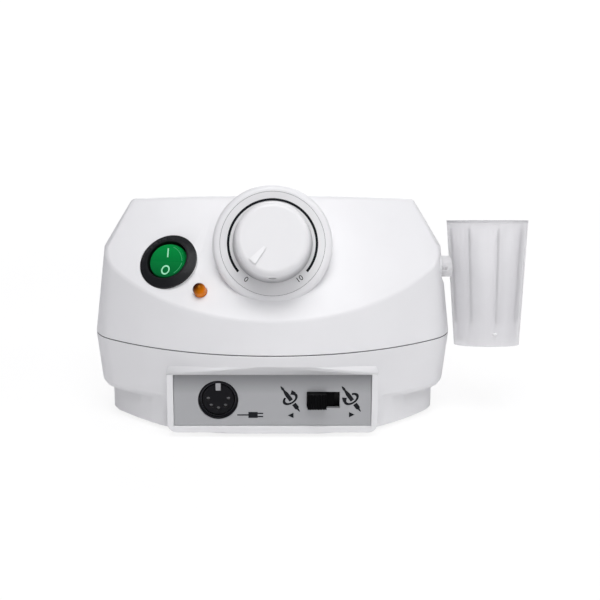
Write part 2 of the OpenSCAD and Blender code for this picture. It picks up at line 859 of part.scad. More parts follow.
// Power switch: snap-in barrel with a sloping bezel, and a round rocker on a cross pin
module power_switch_body() {
    open_r = rocker_r + slide_fit;
    color("#26262a")
        at_switch()
            difference() {
                union() {
                    rotate_extrude()
                        polygon([[0, 0], [bezel_d / 2, 0], [bezel_d / 2, bezel_h * bezel_rim],
                            [open_r + bezel_land, bezel_h], [0, bezel_h]]);
                    rod(barrel_d / 2, -barrel_l, 0);
                }
                rod(open_r, -rocker_room, bezel_h + past);
                translate([0, 0, -pivot_depth])
                    rotate([0, 90, 0])
                        rod(pin_r + run_fit, -pin_half - slide_fit, pin_half + slide_fit);
            }
}
module power_rocker() {
    rise = rocker_r * tan(rocker_tilt);
    low = -rocker_r * rocker_keel;
    color("#0b7a35")
        at_switch()
            translate([0, 0, -pivot_depth])
                rotate([rocker_tilt, 0, 0]) {
                    intersection() {
                        sphere(rocker_r);
                        rotate([90, 0, 90])
                            linear_extrude(2 * rocker_r + past, center = true)
                                polygon([[-rocker_r, low], [rocker_r, low], [rocker_r, rocker_h + rise],
                                    [0, rocker_h], [-rocker_r, rocker_h + rise]]);
                    }
                    rotate([0, 90, 0])
                        rod(pin_r, -pin_half, pin_half);
                }
}
module power_switch_terminals() {
    color("gold")
        at_switch()
            for (i = [-1:1])
                translate([0, i * tab_pitch, 0])
                    block(tab.x, tab.y, -barrel_l - tab.z, -barrel_l);
}

// Pilot lamp in its clip
lamp_flange_r = lamp_d / 2 + 0.45;
clip_wall = 1.4;
lamp_gap = 0.1 + (lamp_flange_r + clip_wall) * tan(control_lean);
lamp_back = wall + lamp_gap + 1;
lead_r = 0.3;
lead_l = 12;
lead_x = 1.27;
clip_lip = 0.6;
module lamp_lens() {
    color("#c9690f")
        at_lamp() {
            rod(lamp_flange_r, -lamp_back, -wall - lamp_gap);
            rod(lamp_d / 2, -lamp_back, lamp_h - lamp_d / 2);
            translate([0, 0, lamp_h - lamp_d / 2])
                sphere(d = lamp_d);
        }
}
module lamp_leads() {
    color("silver")
        at_lamp()
            for (x = [-lead_x, lead_x])
                translate([x, 0, 0])
                    rod(lead_r, -lamp_back - lead_l, -lamp_back);
}
module lamp_clip() {
    color("#222222")
        at_lamp()
            difference() {
                rod(lamp_flange_r + clip_wall, -lamp_back - clip_wall, -wall - lamp_gap);
                rod(lamp_flange_r + run_fit, -lamp_back, 0);
                rod(lamp_flange_r - clip_lip, -lamp_back - clip_wall - past, 0);
            }
}

// Five-pole motor socket
socket_wall = 0.75;
shield_room = 0.95;
shield_t = 0.4;
shield_l = 7;
shield_gap = 0.1;
socket_room_r = socket_d / 2 - socket_wall;
plug_core_r = socket_room_r - shield_room;
key_w = 2.2;
key_l = 2.6;
key_y = plug_core_r - key_l;
contact_n = 5;
contact_step = 45;
contact_play = 0.1;
contact_set = 2;
collar_w = 2;
collar_t = 1.5;
function contact_at(i) = contact_circle * flat_dir(180 + contact_step * i);
module motor_socket_body() {
    color("#141416")
        at_panel(socket_x)
            difference() {
                union() {
                    rod(socket_d / 2 - fit, -socket_l, socket_face);
                    block(socket_d + 2 * collar_w, panel_h - 2 * panel_ledge - 2 * fit,
                        -panel_t - collar_t, -panel_t);
                }
                rod(socket_room_r, core_face - shield_l, socket_face + past);
                rod(plug_core_r + run_fit, -socket_l - past, 0);
            }
}
module motor_socket_core() {
    color("#1a1a1c")
        at_panel(socket_x)
            difference() {
                rod(plug_core_r, -socket_l, core_face);
                translate([0, key_y + plug_core_r / 2, 0])
                    block(key_w + 2 * fit, plug_core_r, core_face - shield_l, past);
                for (i = [0:contact_n - 1])
                    translate(contact_at(i))
                        rod(contact_hole / 2, -socket_l - past, past);
            }
}
module motor_socket_shield() {
    shield_r = socket_room_r - shield_gap;
    key_end = shield_r - shield_t / 2;
    color("silver")
        at_panel(socket_x) {
            tube(shield_r, shield_r - shield_t, core_face - shield_l, core_face);
            translate([0, (key_y + fit + key_end) / 2, 0])
                block(key_w, key_end - key_y - fit, core_face - shield_l, core_face + shield_t);
        }
}
module motor_socket_contacts() {
    color("silver")
        at_panel(socket_x)
            for (i = [0:contact_n - 1])
                translate(contact_at(i))
                    rod(contact_hole / 2 - contact_play, -socket_l - contact_tail, core_face - contact_set);
}

// Direction slide switch
case_w = slot_w + 8.5;
case_h = slot_h + 4;
grip_n = 7;
grip_depth = 0.4;
grip_share = 0.45;
slide_pin = [1.6, 0.6, 4];
case_wall = 1;
flange_t = 3.2;
button_h = slot_h - 2 * slide_fit;
module slide_switch_case() {
    color("silver")
        at_panel(slide_x)
            difference() {
                block(case_w, case_h, -panel_t - case_l, -panel_t);
                block(case_w - 2 * case_wall, case_h - 2 * case_wall,
                    -panel_t - flange_t - 2 * slide_fit, 0);
            }
}
module slide_actuator() {
    rib_pitch = button_w / grip_n;
    color("#141416")
        at_panel(slide_x - slide_travel / 2) {
            difference() {
                block(button_w, button_h, -panel_t - 2 * slide_fit, button_proud);
                for (i = [0:grip_n - 1])
                    translate([(i - (grip_n - 1) / 2) * rib_pitch, 0, 0])
                        block(rib_pitch * grip_share, button_h + past,
                            button_proud - grip_depth, button_proud + past);
            }
            block(case_w - 2 * case_wall - slide_travel - 2 * slide_fit,
                case_h - 2 * case_wall - 2 * slide_fit,
                -panel_t - flange_t - slide_fit, -panel_t - slide_fit);
        }
}
module slide_switch_terminals() {
    color("gold")
        at_panel(slide_x)
            for (x = [-1, 0, 1], y = [-1, 1])
                translate([x * case_w / 4, y * case_h / 4, 0])
                    block(slide_pin.x, slide_pin.y, -panel_t - case_l - slide_pin.z, -panel_t - case_l);
}

// Transformer: laminated core with two windows, wound bobbin and strap bracket
window_w = leg;
coil_out = 6.5;
flange_out = 1;
strap_in = 3;
module at_core() {
    translate([core_x, core_y, floor_top])
        children();
}
module transformer_core() {
    color("dimgray")
        at_core()
            difference() {
                block(core_w, core_t, 0, core_h);
                for (sx = [-1, 1])
                    translate([sx * (leg + window_w / 2), 0, 0])
                        block(window_w, core_t + 2 * past, leg, core_h - leg);
            }
}
module transformer_coil() {
    spool = 2 * leg + 2 * window_w - 2 * fit;
    color("#b5651d")
        at_core()
            difference() {
                union() {
                    for (z = [leg + fit, core_h - leg - fit - flange_out])
                        block(spool, core_t + 2 * coil_out + 2 * flange_out, z, z + flange_out);
                    block(spool - 2 * flange_out, core_t + 2 * coil_out, leg + fit, core_h - leg - fit);
                }
                block(2 * leg + 2 * fit, core_t + 2 * fit, 0, core_h);
            }
}
module transformer_bracket() {
    outer = core_w + 2 * bracket_t;
    strap = core_t - 2 * strap_in;
    color("silver")
        at_core()
            difference() {
                union() {
                    difference() {
                        block(outer, strap, 0, core_h + bracket_t);
                        block(core_w, strap + 2 * past, -past, core_h);
                    }
                    for (sx = [-1, 1])
                        translate([sx * (foot_reach + outer / 2) / 2, 0, 0])
                            block(foot_reach - outer / 2 + bracket_foot, strap, 0, bracket_t);
                }
                block(core_w, strap + 2 * past, -past, core_h);
                for (sx = [-1, 1])
                    translate([sx * foot_reach, 0, 0])
                        rod(small_r + small_play, -past, bracket_t + past);
            }
}

// Control board and what stands on it
board_edge = 1;
rectifier = [4.6, 15, 14];
vent_groove = [2.4, 0.5, 0.4];
sink = [22, 2.4, 20];
sink_in = 9;
fin = [1.2, 5, 5];
module at_board(x, y) {
    translate([board_x + x, board_y + y, board_top])
        children();
}
module control_board() {
    color("darkgreen")
        at_board(0, 0)
            difference() {
                block(board_w, board_d, -board_t, 0);
                for (p = board_holes)
                    translate(p)
                        rod(small_r + small_play, -board_t - past, past);
            }
}
module filter_capacitor() {
    color("navy")
        at_board(board_w / 2 - cap_d / 2 - board_edge, parts_y)
            difference() {
                rod(cap_d / 2, 0, cap_h);
                for (a = [0, 90])
                    rotate(a)
                        block(cap_d - 2 * vent_groove.x, vent_groove.y,
                            cap_h - vent_groove.z, cap_h + past);
            }
}
module bridge_rectifier() {
    color("#202020")
        at_board(board_w / 2 - cap_d - rectifier.x - board_edge, parts_y)
            block(rectifier.x, rectifier.y, 0, rectifier.z);
}
sink_y = -board_d / 2 + sink_in;
module heat_sink() {
    color("gray")
        at_board(0, sink_y) {
            block(sink.x, sink.y, 0, sink.z);
            for (i = [-2:2])
                translate([i * fin.z, -fin.y / 2 - sink.y / 2, 0])
                    block(fin.x, fin.y + sink.y / 2, 0, sink.z);
        }
}
module power_transistor() {
    case = [10, 4.4, 9];
    tab_t = 1.3;
    leg_l = 4;
    leg_w = 0.8;
    leg_pitch = 2.54;
    color("#1c1c1c")
        at_board(0, sink_y + sink.y / 2) {
            translate([0, case.y / 2, 0])
                block(case.x, case.y, leg_l, leg_l + case.z);
            translate([0, tab_t / 2, 0])
                block(case.x, tab_t, leg_l + case.z / 2, sink.z - past);
            for (i = [-1:1])
                translate([i * leg_pitch, case.y / 2, 0])
                    block(leg_w, leg_w, 0, leg_l + leg_w);
        }
}

// Mains inlet with its three blades
inlet_w = 26.8;
inlet_h = 19.4;
inlet_l = 17;
inlet_rim = 2;
inlet_rim_t = 2.5;
inlet_wall = 1.4;
inlet_floor = 2.2;
inlet_cut = 4;
blade = [2, 4];
blade_tail = 5;
blade_set = 1;
module inlet_shape(w, h, cut) {
    polygon([[-w / 2, -h / 2], [w / 2, -h / 2], [w / 2, h / 2 - cut], [w / 2 - cut, h / 2],
        [cut - w / 2, h / 2], [-w / 2, h / 2 - cut]]);
}
blade_at = [[-7, -2], [0, 2], [7, -2]];
module mains_inlet() {
    color("#1b1b1d")
        at_rear(inlet_x)
            difference() {
                union() {
                    block(inlet_w + 2 * inlet_rim, inlet_h + 2 * inlet_rim, 0, inlet_rim_t);
                    block(inlet_w, inlet_h, -inlet_l, inlet_rim_t / 2);
                }
                translate([0, 0, inlet_floor - inlet_l])
                    linear_extrude(inlet_l + past)
                        inlet_shape(inlet_w - 2 * inlet_wall, inlet_h - 2 * inlet_wall, inlet_cut);
                for (p = blade_at)
                    translate(p)
                        block(blade.x + 2 * fit, blade.y + 2 * fit, -inlet_l - past, 0);
            }
}
module mains_inlet_pins() {
    color("silver")
        at_rear(inlet_x)
            for (p = blade_at)
                translate(p)
                    block(blade.x, blade.y, -inlet_l - blade_tail, -blade_set);
}

// Fuse holder with a turning cap
fuse_r = 6.2;
fuse_l = 20;
fuse_bore = 4.6;
carrier_r = fuse_bore - 2 * run_fit;
carrier_l = 5.5;
fuse_body_r = 2.6;
link_l = 20;
link_set = 1.9;
fuse_end = 4;
fuse_rim = 1.6;
fuse_rim_t = 2;
cap_r = fuse_r - 0.6;
cap_top = 6;
cap_slot = [1.2, 1];
nut_across = 3;
fuse_nut_h = 3;
module fuse_holder() {
    color("#1b1b1d")
        at_rear(fuse_x)
            difference() {
                union() {
                    rod(fuse_r + fuse_rim, 0, fuse_rim_t);
                    rod(fuse_r, -fuse_l - fuse_end, fuse_rim_t / 2);
                }
                rod(fuse_bore, -fuse_l - fuse_end / 2, fuse_rim_t + past);
            }
}
module fuse_nut() {
    color("#2a2a2a")
        at_rear(fuse_x)
            hex_nut(2 * fuse_r + nut_across, fuse_r + run_fit, -rear_t - fuse_nut_h, -rear_t);
}
module fuse_cap() {
    color("#1b1b1d")
        at_rear(fuse_x)
            difference() {
                union() {
                    rod(cap_r, fuse_rim_t + slide_fit, cap_top);
                    rod(carrier_r, -carrier_l, fuse_rim_t + past);
                }
                block(cap_slot.x, 2 * fuse_r, cap_top - cap_slot.y, cap_top + past);
                rod(fuse_body_r + run_fit, -carrier_l - past, -link_set);
            }
}
module fuse_link() {
    color("lightgray")
        at_rear(fuse_x)
            rod(fuse_body_r, -link_l - link_set, -link_set);
}

// Foot control jack
jack_r = 4.6;
jack_out = 4;
jack_end = 1.5;
jack_box = [13, 12];
jack_nut_h = 2.2;
module foot_jack() {
    color("#1b1b1d")
        at_rear(jack_x)
            difference() {
                union() {
                    rod(jack_r, -rear_t - past, jack_out);
                    block(jack_box.x, jack_box.y, jack_out - jack_l - jack_end, -rear_t);
                }
                rod(jack_bore / 2, jack_out - jack_l, jack_out + past);
            }
}
module foot_jack_nut() {
    color("silver")
        at_rear(jack_x)
            hex_nut(2 * jack_r + nut_across, jack_r + run_fit, 0, jack_nut_h);
}
module foot_jack_terminals() {
    color("gold")
        at_rear(jack_x)
            for (i = [-1:1])
                translate([i * jack_pin.z, 0, 0])
                    block(jack_pin.x, jack_pin.y, -jack_l - jack_pin.z, jack_out - jack_l - jack_end);
}

// Handpiece cup: fluted tumbler with a split snap peg
cup_floor = 2;
rib_t = 1.2;
rib_foot = 9;
rib_lead = 5;
lead_past = 0.2;
rib_drop = 3;
rib_turn = 8;
function cup_r(z) = rim_r - (peg_drop - z) * slope_per_mm;
module cup_cone(shrink, z0, z1) {
    translate([0, 0, z0])
        cylinder(r1 = cup_r(z0) - shrink, r2 = cup_r(z1) - shrink, h = z1 - z0);
}
module handpiece_cup() {
    z0 = peg_drop - cup_h;
    rib_top = peg_drop - rib_drop;
    lead_z = rib_top - rib_lead;
    lead_r = cup_r(lead_z) - cup_wall - rib_h;
    lead_rise = cup_r(rib_top) - cup_wall - lead_r;
    color("#d8dade")
        at_cup() {
            difference() {
                union() {
                    cup_cone(0, z0, peg_drop);
                    rotate([0, -90, 0])
                        rod(peg_d / 2, peg_root - cup_wall, peg_in + barb_l);
                    rotate([0, -90, 0])
                        translate([0, 0, peg_in])
                            cylinder(r1 = peg_d / 2 + barb_h, r2 = peg_d / 2 - barb_lead, h = barb_l);
                }
                cup_cone(cup_wall, z0 + cup_floor, peg_drop + past);
                rotate([cup_lean, 0, 0])
                    translate([-peg_in - barb_l - past, -peg_d, -peg_slot / 2])
                        cube([peg_in + barb_l + past - peg_root - peg_slot, 2 * peg_d, peg_slot]);
            }
            intersection() {
                difference() {
                    cup_cone(cup_wall / 2, z0 + rib_foot, rib_top + rib_lead * lead_past / 2);
                    cup_cone(cup_wall + rib_h, z0 + rib_foot - past, rib_top + rib_lead);
                    translate([0, 0, lead_z])
                        cylinder(r1 = lead_r, r2 = lead_r + lead_rise * (1 + lead_past),
                            h = rib_lead * (1 + lead_past));
                }
                for (i = [0:rib_n - 1])
                    rotate(360 / rib_n * i - 90 + rib_turn)
                        translate([0, -rib_t / 2, z0])
                            cube([rim_r, rib_t, cup_h]);
            }
        }
}
module holder_bush() {
    color("white")
        translate([peg_wall_x, peg_y, peg_z])
            rotate([0, 90, 0])
                difference() {
                    union() {
                        rod(bush_r, -bush_l, -bush_set);
                        rod(bush_flange_r, -bush_l, -bush_flange_at);
                    }
                    rod(peg_d / 2 + run_fit, -bush_l - past, past);
                }
}

upper_shell();
lower_shell();
front_panel();
rear_panel();
dial_disc();
housing_screws();
rubber_feet();
speed_knob();
knob_insert();
knob_set_screw();
pot_body();
pot_bushing();
pot_shaft();
pot_nut();
pot_terminals();
power_switch_body();
power_rocker();
power_switch_terminals();
lamp_lens();
lamp_leads();
lamp_clip();
motor_socket_body();
motor_socket_core();
motor_socket_shield();
motor_socket_contacts();
slide_switch_case();
slide_actuator();
slide_switch_terminals();
transformer_core();
transformer_coil();
transformer_bracket();
transformer_screws();
control_board();
board_screws();
filter_capacitor();
bridge_rectifier();
power_transistor();
heat_sink();
mains_inlet();
mains_inlet_pins();
fuse_holder();
fuse_nut();
fuse_cap();
fuse_link();
foot_jack();
foot_jack_nut();
foot_jack_terminals();
handpiece_cup();
holder_bush();
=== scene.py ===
import json
from math import asin, atan2, cos, degrees, pi, radians, sin, tan

import bmesh
import bpy
from mathutils import Matrix, Vector

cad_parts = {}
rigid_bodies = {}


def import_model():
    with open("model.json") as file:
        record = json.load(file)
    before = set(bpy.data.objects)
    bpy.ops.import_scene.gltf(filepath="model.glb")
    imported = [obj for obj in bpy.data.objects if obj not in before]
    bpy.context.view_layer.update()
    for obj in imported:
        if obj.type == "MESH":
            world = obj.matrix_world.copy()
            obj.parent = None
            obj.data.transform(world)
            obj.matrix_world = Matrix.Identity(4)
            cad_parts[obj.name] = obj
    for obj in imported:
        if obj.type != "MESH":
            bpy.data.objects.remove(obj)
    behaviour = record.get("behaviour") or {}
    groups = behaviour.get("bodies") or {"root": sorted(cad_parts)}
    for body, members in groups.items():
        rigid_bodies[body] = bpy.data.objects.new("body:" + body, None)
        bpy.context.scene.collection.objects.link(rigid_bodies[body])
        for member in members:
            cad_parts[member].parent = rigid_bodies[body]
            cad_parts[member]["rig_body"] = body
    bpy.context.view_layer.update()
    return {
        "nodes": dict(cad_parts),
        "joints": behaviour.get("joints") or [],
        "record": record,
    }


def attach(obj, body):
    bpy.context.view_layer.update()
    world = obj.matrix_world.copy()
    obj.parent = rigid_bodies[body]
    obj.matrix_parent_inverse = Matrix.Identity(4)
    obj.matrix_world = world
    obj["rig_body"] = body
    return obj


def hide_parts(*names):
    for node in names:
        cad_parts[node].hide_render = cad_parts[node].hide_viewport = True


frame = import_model()
scene = bpy.context.scene
scene.view_settings.view_transform = "Standard"
nodes = frame["nodes"]
joints = {j["name"]: j for j in frame["joints"]}
mounts = {m["name"]: m for m in frame["record"]["mounts"]}

# Sizes of the CAD part that the finishes and marks follow, in millimetres and degrees.
# The plan is three arcs on each side: the front, a front corner and a rear corner.
FRONT_MIDDLE, FRONT_R, FRONT_END = (0, 51), 102, -50.9
CORNER_MIDDLE, CORNER_R, CORNER_END = (53, -14.17), 18, 12
REAR_MIDDLE, REAR_R, REAR_END = (44.6, 35), 16, 84
WALL_DRAFT = 6
SEAM_Z = 33.6
SEAM_H = 0.4
SEAM_DEPTH = 0.2
SEAM_W = 0.7
SEAM_REAR_Y = 50
FRAME_FRONT_Y = -47.6
FRAME_ROUND = 0.6
CONSOLE_BACK_Y = -44
CONSOLE_TOP_Z = 28.5
CONSOLE_HALF = 42.5
FACE_EDGE = (0, -49.3915, 46.9)
FACE_SLOPE = 47.5
CROWN_R = 260
SWITCH_AT = (-40.2, 27.4)
LAMP_AT = (-27.5, 13.7)
PAD_LEAN = -7
SWITCH_TWIST = -10
PIVOT_Z = -1.6
ROCKER_TILT = 9
ROCKER_H = 3.2
LAMP_MIDDLE = 2.2
DISC_R = 20
DISC_FIT = 0.15
KNOB_MIDDLE = 6
POINTER_TOP = 15.6
POINTER_TURN = 229
CUP_RIM_R = 16.1
CUP_RIM_Z = 18.2
CUP_WALL = 1.5
CUP_SLOPE = 0.06566
RIBS = 8
RIB_TURN = 8
RIB_FOOT_Z = -22
RIB_LEAD_Z = 12
RIB_TOP_Z = 15

# Thicknesses of printed marks
PANEL_PRINT = 0.04
DIAL_PRINT = 0.05
ROCKER_PRINT = 0.06

# Shapes are drawn in millimetres and brought to metres at the end.
MILLI = Matrix.Scale(0.001, 4)


def shift(x=0, y=0, z=0):
    return Matrix.Translation((x, y, z))


def turn(angle, axis):
    return Matrix.Rotation(radians(angle), 4, axis)


def at(spot):
    """The place of a joint or a mount."""
    return shift(*(1000 * c for c in spot["pos_m"]))


def facing(way):
    """A turn about X that brings Z to a direction in the middle plane."""
    return turn(degrees(atan2(-way[1], way[2])), "X")


def face_place(x, s):
    """A place on the crowned control face, across it and up its slope."""
    tilt = degrees(asin(x / CROWN_R))
    return (shift(*FACE_EDGE) @ turn(FACE_SLOPE, "X") @ shift(z=-CROWN_R)
            @ turn(tilt, "Y") @ shift(0, s, CROWN_R))


socket = mounts["motor_socket"]
socket_x, panel_y, panel_z = (1000 * c for c in socket["pos_m"])


def panel_place(x, y=0, z=0):
    """A place on the front panel, across it, up it and out of it."""
    return shift(x, panel_y, panel_z) @ facing(socket["axis"]) @ shift(0, y, z)


dial_place = at(joints["knob_turn"]) @ facing([-c for c in joints["knob_turn"]["axis"]])
dial_axis = dial_place.to_3x3() @ Vector((0, 0, 1))
cup_place = at(joints["holder_swivel"]) @ facing(mounts["handpiece_rest"]["axis"])
lamp_place = face_place(*LAMP_AT) @ turn(PAD_LEAN, "Y")
rocker_place = (face_place(*SWITCH_AT) @ turn(PAD_LEAN, "Y") @ turn(SWITCH_TWIST, "Z")
                @ shift(z=PIVOT_Z) @ turn(ROCKER_TILT, "X"))
rocker_upper = rocker_place @ shift(z=ROCKER_H) @ turn(ROCKER_TILT, "X")
rocker_lower = rocker_place @ shift(z=ROCKER_H) @ turn(-ROCKER_TILT, "X")


# Finishes
def finish(name, colour, roughness, **sockets):
    """A material with its constant values on the shader's own sockets."""
    mat = bpy.data.materials.new(name)
    mat.use_nodes = True
    shader = mat.node_tree.nodes["Principled BSDF"]
    shader.inputs["Base Color"].default_value = (*colour, 1)
    shader.inputs["Roughness"].default_value = roughness
    for socket_name, value in sockets.items():
        shader.inputs[socket_name.replace("_", " ")].default_value = value
    mat.diffuse_color = (*colour, 1)
    return mat


def noise(mat, scale, detail, stretch):
    """Noise on Object coordinates, scale being waves per metre."""
    tree = mat.node_tree
    coords = tree.nodes.new("ShaderNodeTexCoord")
    spread = tree.nodes.new("ShaderNodeMapping")
    spread.inputs["Scale"].default_value = stretch
    tex = tree.nodes.new("ShaderNodeTexNoise")
    tex.inputs["Scale"].default_value = scale
    tex.inputs["Detail"].default_value = detail
    tree.links.new(coords.outputs["Object"], spread.inputs["Vector"])
    tree.links.new(spread.outputs["Vector"], tex.inputs["Vector"])
    return tex.outputs["Fac"]


EVEN = (1, 1, 1)


def mottle(mat, scale, low, high, stretch=EVEN):
    """Colour that drifts between two close tones."""
    tree = mat.node_tree
    ramp = tree.nodes.new("ShaderNodeValToRGB")
    ramp.color_ramp.elements[0].position = 0.3
    ramp.color_ramp.elements[1].position = 0.7
    ramp.color_ramp.elements[0].color = (*low, 1)
    ramp.color_ramp.elements[1].color = (*high, 1)
    tree.links.new(noise(mat, scale, 3, stretch), ramp.inputs["Fac"])
    tree.links.new(ramp.outputs["Color"], tree.nodes["Principled BSDF"].inputs["Base Color"])


def uneven_gloss(mat, scale, low, high, stretch=EVEN):
    """Roughness that drifts between two values."""
    tree = mat.node_tree
    span = tree.nodes.new("ShaderNodeMapRange")
    span.inputs["To Min"].default_value = low
    span.inputs["To Max"].default_value = high
    tree.links.new(noise(mat, scale, 2, stretch), span.inputs["Value"])
    tree.links.new(span.outputs["Result"], tree.nodes["Principled BSDF"].inputs["Roughness"])


def relief(mat, scale, strength, depth, stretch=EVEN):
    """A fine skin, with its depth in metres."""
    tree = mat.node_tree
    bump = tree.nodes.new("ShaderNodeBump")
    bump.inputs["Strength"].default_value = strength
    bump.inputs["Distance"].default_value = depth
    tree.links.new(noise(mat, scale, 2, stretch), bump.inputs["Height"])
    tree.links.new(bump.outputs["Normal"], tree.nodes["Principled BSDF"].inputs["Normal"])


def painted_shading(mat, place, way, half, low, high):
    """Painted light and shade: colour that runs from one tone to another along a direction through
    a place.
    """
    way = Vector(way).normalized()
    middle = way.dot((MILLI @ place).translation)
    half *= 0.001
    tree = mat.node_tree
    coords = tree.nodes.new("ShaderNodeTexCoord")
    along = tree.nodes.new("ShaderNodeVectorMath")
    along.operation = "DOT_PRODUCT"
    along.inputs[1].default_value = way
    span = tree.nodes.new("ShaderNodeMapRange")
    span.inputs["From Min"].default_value = middle - half
    span.inputs["From Max"].default_value = middle + half
    ramp = tree.nodes.new("ShaderNodeValToRGB")
    ramp.color_ramp.elements[0].color = (*low, 1)
    ramp.color_ramp.elements[1].color = (*high, 1)
    tree.links.new(coords.outputs["Object"], along.inputs[0])
    tree.links.new(along.outputs["Value"], span.inputs["Value"])
    tree.links.new(span.outputs["Result"], ramp.inputs["Fac"])
    tree.links.new(ramp.outputs["Color"], tree.nodes["Principled BSDF"].inputs["Base Color"])


def see_through(mat, share, clear):
    """Lets light through a frosted wall: a share of it scattered, a part of it straight."""
    tree = mat.node_tree
    inner = tree.nodes.new("ShaderNodeBsdfTranslucent")
    inner.inputs["Color"].default_value = (0.93, 0.927, 0.935, 1)
    through = tree.nodes.new("ShaderNodeBsdfTransparent")
    through.inputs["Color"].default_value = (0.95, 0.948, 0.955, 1)
    scattered = tree.nodes.new("ShaderNodeMixShader")
    scattered.inputs["Fac"].default_value = share
    straight = tree.nodes.new("ShaderNodeMixShader")
    straight.inputs["Fac"].default_value = clear
    tree.links.new(tree.nodes["Principled BSDF"].outputs["BSDF"], scattered.inputs[1])
    tree.links.new(inner.outputs["BSDF"], scattered.inputs[2])
    tree.links.new(scattered.outputs["Shader"], straight.inputs[1])
    tree.links.new(through.outputs["BSDF"], straight.inputs[2])
    tree.links.new(straight.outputs["Shader"], tree.nodes["Material Output"].inputs["Surface"])


def toned(colour, factor):
    return [min(1, c * factor) for c in colour]


def plastic(name, colour, roughness, spread=0.03, grain=1800, strength=0.08, **sockets):
    """Moulded plastic: a slow drift of tone, uneven gloss and a fine skin."""
    mat = finish(name, colour, roughness, **sockets)
    mottle(mat, 45, toned(colour, 1 - spread), toned(colour, 1 + spread))
    uneven_gloss(mat, 160, roughness * 0.88, min(1, roughness * 1.14))
    relief(mat, grain, strength, 0.00006)
    return mat


def metal(name, colour, roughness, stretch=EVEN, scale=700):
    """Metal with a drawn or plated skin that runs along the stretched axis."""
    mat = finish(name, colour, roughness, Metallic=1)
    mottle(mat, scale, toned(colour, 0.9), toned(colour, 1.06), stretch)
    uneven_gloss(mat, scale, roughness * 0.75, min(1, roughness * 1.3), stretch)
    relief(mat, scale, 0.06, 0.00004, stretch)
    return mat


housing_white = plastic("housing_white", (0.80, 0.80, 0.808), 0.36, 0.012, 2600, 0.05)
knob_white_shaded = plastic("knob_white_shaded", (0.80, 0.80, 0.805), 0.33, 0.012, 2600, 0.04)
# Painted shade: the knob's white darkens towards its base, standing for the shade round its foot.
painted_shading(knob_white_shaded, dial_place @ shift(z=KNOB_MIDDLE), dial_axis, 5.5,
         (0.25, 0.25, 0.26), (0.81, 0.81, 0.815))
gate_white = plastic("gate_white", (0.80, 0.80, 0.805), 0.33, 0.012)
dial_white = plastic("dial_white", (0.78, 0.78, 0.785), 0.45, 0.012)
bush_white = plastic("bush_white", (0.74, 0.74, 0.75), 0.4)
print_black = plastic("print_black", (0.008, 0.009, 0.012), 0.5, 0.2, Specular_IOR_Level=0.15)
panel_grey_shaded = finish("panel_grey_shaded", (0.42, 0.425, 0.435), 0.42, Metallic=0.35)
# Painted shadow: the panel darkens towards its top, where the wall above overhangs it.
painted_shading(panel_grey_shaded, panel_place(0, 6.1), (0, 0, 1), 3.6,
         (0.43, 0.435, 0.445), (0.245, 0.248, 0.255))
uneven_gloss(panel_grey_shaded, 160, 0.37, 0.48)
relief(panel_grey_shaded, 5200, 0.12, 0.00006)
charcoal = plastic("charcoal", (0.009, 0.0095, 0.011), 0.4, 0.12, 2400, 0.12,
                   Specular_IOR_Level=0.2)
socket_black = plastic("socket_black", (0.004, 0.004, 0.006), 0.4, 0.15, Specular_IOR_Level=0.15)
slide_black = plastic("slide_black", (0.0025, 0.0025, 0.003), 0.42, 0.15, Specular_IOR_Level=0.05)
mains_black = plastic("mains_black", (0.016, 0.016, 0.018), 0.5, 0.15, 1500, 0.15)
mint_print = plastic("mint_print", (0.36, 0.86, 0.55), 0.5, 0.05)
rocker_green_shaded = finish("rocker_green_shaded", (0.004, 0.2, 0.05), 0.24, Specular_IOR_Level=0.08)
# Painted shade: the rocker's green darkens towards its lower end and is lighter where light falls
# on its upper part.
painted_shading(rocker_green_shaded, rocker_place, (0.15, 0.3, 0.9), 5.5,
         (0.001, 0.12, 0.03), (0.002, 0.25, 0.05))
uneven_gloss(rocker_green_shaded, 260, 0.2, 0.28)
gleam_green = plastic("gleam_green", (0.03, 0.36, 0.13), 0.3, 0.05)
amber_lens_shaded = finish("amber_lens_shaded", (0.55, 0.16, 0.006), 0.05, Specular_IOR_Level=0.6,
                    Specular_Tint=(1, 0.5, 0.06, 1))
# Painted light and shade: the lens is dark at its upper left and bright at its lower right, where
# light gathers through it.
painted_shading(amber_lens_shaded, lamp_place @ shift(z=LAMP_MIDDLE), (0.7, 0, -0.7), 1.6,
         (0.05, 0.008, 0.0003), (0.8, 0.2, 0.001))
uneven_gloss(amber_lens_shaded, 300, 0.06, 0.16)
frosted = plastic("frosted", (0.87, 0.868, 0.875), 0.42, 0.012, 1600, 0.06)
see_through(frosted, 0.4, 0.38)
rib_shade_grey = plastic("rib_shade_grey", (0.36, 0.36, 0.37), 0.6, 0.05)
gap_shade_grey = plastic("gap_shade_grey", (0.16, 0.16, 0.165), 0.6, 0.03)
rim_shade_grey = plastic("rim_shade_grey", (0.6, 0.6, 0.61), 0.5, 0.05)
seam_shade_grey = plastic("seam_shade_grey", (0.14, 0.14, 0.145), 0.8, 0.1, Specular_IOR_Level=0.1)
pointer_highlight_white = plastic("pointer_highlight_white", (0.87, 0.87, 0.875), 0.3, 0.01)
rubber = plastic("rubber", (0.018, 0.018, 0.018), 0.78, 0.2, 900, 0.3)
rear_paint = plastic("rear_paint", (0.05, 0.05, 0.054), 0.55, 0.1, 1400, 0.35)
bright_steel = metal("bright_steel", (0.66, 0.66, 0.67), 0.28)
dull_steel = metal("dull_steel", (0.42, 0.42, 0.43), 0.42)
dark_steel = metal("dark_steel", (0.045, 0.045, 0.05), 0.4)
drawn_brass = metal("drawn_brass", (0.72, 0.52, 0.24), 0.3)
tinned = metal("tinned", (0.72, 0.71, 0.68), 0.35)
fin_alloy = metal("fin_alloy", (0.5, 0.51, 0.53), 0.4, (1, 1, 6))
